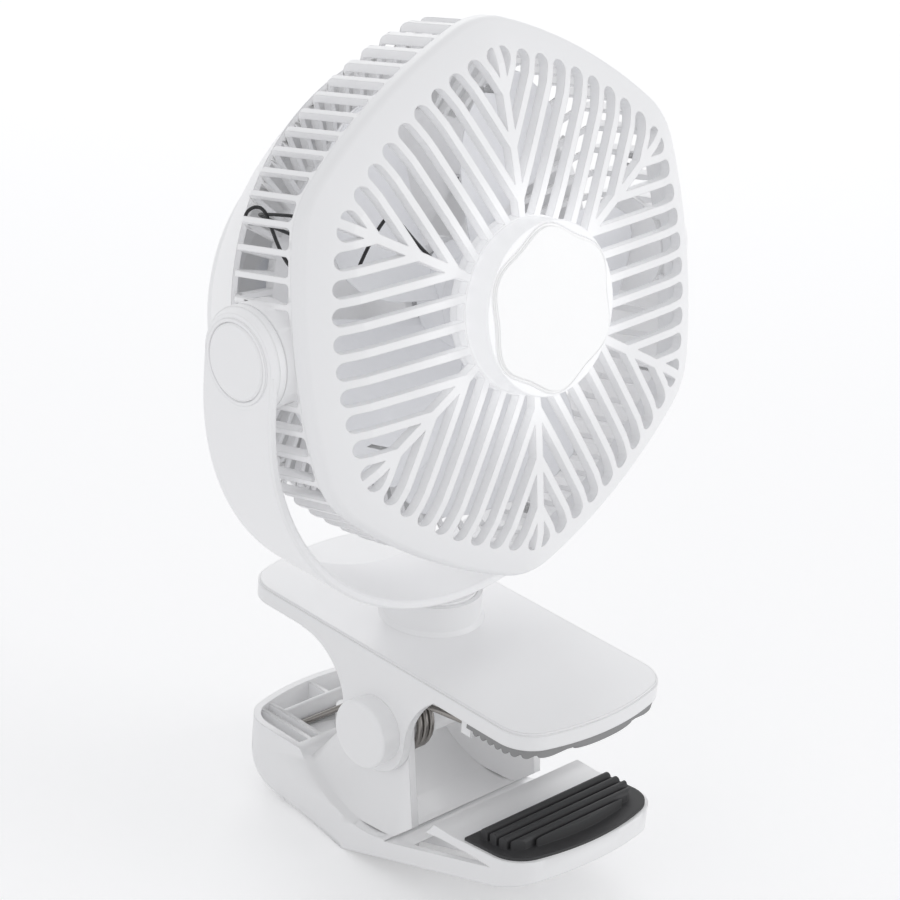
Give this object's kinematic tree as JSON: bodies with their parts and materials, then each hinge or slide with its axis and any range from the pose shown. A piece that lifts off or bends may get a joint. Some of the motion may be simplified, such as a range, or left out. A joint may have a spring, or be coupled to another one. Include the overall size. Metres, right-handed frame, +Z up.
{
  "type": "portable clip-on camping fan",
  "caption": "Clip-on fan with a six-sided slatted head, a light in the hub, a tilting U-shaped yoke, a swivel and a sprung clip.",
  "frame": {"origin": "middle of the tube that the clip grips, on the clip's centre plane", "axes": "+Z up along the swivel axis, -Y the way the fan blows before tilt, X along the gripped tube"},
  "size_m": [0.178, 0.1449, 0.2748],
  "materials": {
    "white_plastic": "satin",
    "diffuser": "frosted",
    "white_board": "solder mask",
    "led_phosphor": "cast resin",
    "steel": "satin",
    "blade_plastic": "satin",
    "cell_wrap": "shrink film",
    "black_plastic": "satin",
    "green_board": "solder mask",
    "grey_plastic": "satin",
    "light_pipe": "clear",
    "wire_sleeve": "sleeve",
    "spring_steel": "drawn wire",
    "grey_rubber": "matt",
    "dark_rubber": "matt"
  },
  "bodies": {
    "clip": {"clip_upper_arm": "white_plastic", "hinge_pin": "steel", "pin_caps": "white_plastic", "torsion_spring": "spring_steel", "upper_pad": "grey_rubber"},
    "lower_jaw": {"clip_lower_arm": "white_plastic", "lower_pad": "dark_rubber"},
    "yoke": {"yoke": "white_plastic", "pivot_caps": "white_plastic", "swivel_washer": "steel", "swivel_screw": "steel"},
    "head": {"front_grille": "white_plastic", "led_lens": "diffuser", "led_board": "white_board", "led_chips": "led_phosphor", "hub_cover": "white_plastic", "rear_housing": "white_plastic", "rear_pod": "white_plastic", "pod_screws": "steel", "motor": "steel", "battery_cells": "cell_wrap", "battery_holder": "black_plastic", "control_board": "green_board", "usb_port": "steel", "charge_lights": "light_pipe", "led_wires": "wire_sleeve", "pivot_screws": "steel"},
    "impeller": {"impeller": "blade_plastic", "motor_shaft": "steel"},
    "speed_key": {"speed_button": "grey_plastic"},
    "light_key": {"light_button": "grey_plastic"}
  },
  "joints": [
    {"name": "jaw_hinge", "type": "hinge", "parent": "clip", "child": "lower_jaw", "pos_m": [0, 0.0513, -0.0008], "axis": [1, 0, 0], "range_deg": [-24.5, 30], "stiffness_Nm_per_rad": 0.5, "springref_deg": -42.97, "deforming": ["torsion_spring"]},
    {"name": "swivel", "type": "hinge", "parent": "clip", "child": "yoke", "pos_m": [0, 0.0627, 0.025], "axis": [0, 0, 1], "range_deg": [-180, 180]},
    {"name": "tilt", "type": "hinge", "parent": "yoke", "child": "head", "pos_m": [0, 0.0627, 0.1353], "axis": [1, 0, 0], "range_deg": [-76, 103]},
    {"name": "fan_spin", "type": "hinge", "parent": "head", "child": "impeller", "pos_m": [0, 0.05988, 0.13598], "axis": [0, 0.9724, -0.2334], "continuous": true},
    {"name": "speed_press", "type": "slide", "parent": "head", "child": "speed_key", "axis": [0, -0.9724, 0.2334], "range_m": [0, 0.0007], "stiffness_N_per_m": 400},
    {"name": "light_press", "type": "slide", "parent": "head", "child": "light_key", "axis": [0, -0.9724, 0.2334], "range_m": [0, 0.0007], "stiffness_N_per_m": 400}
  ]
}
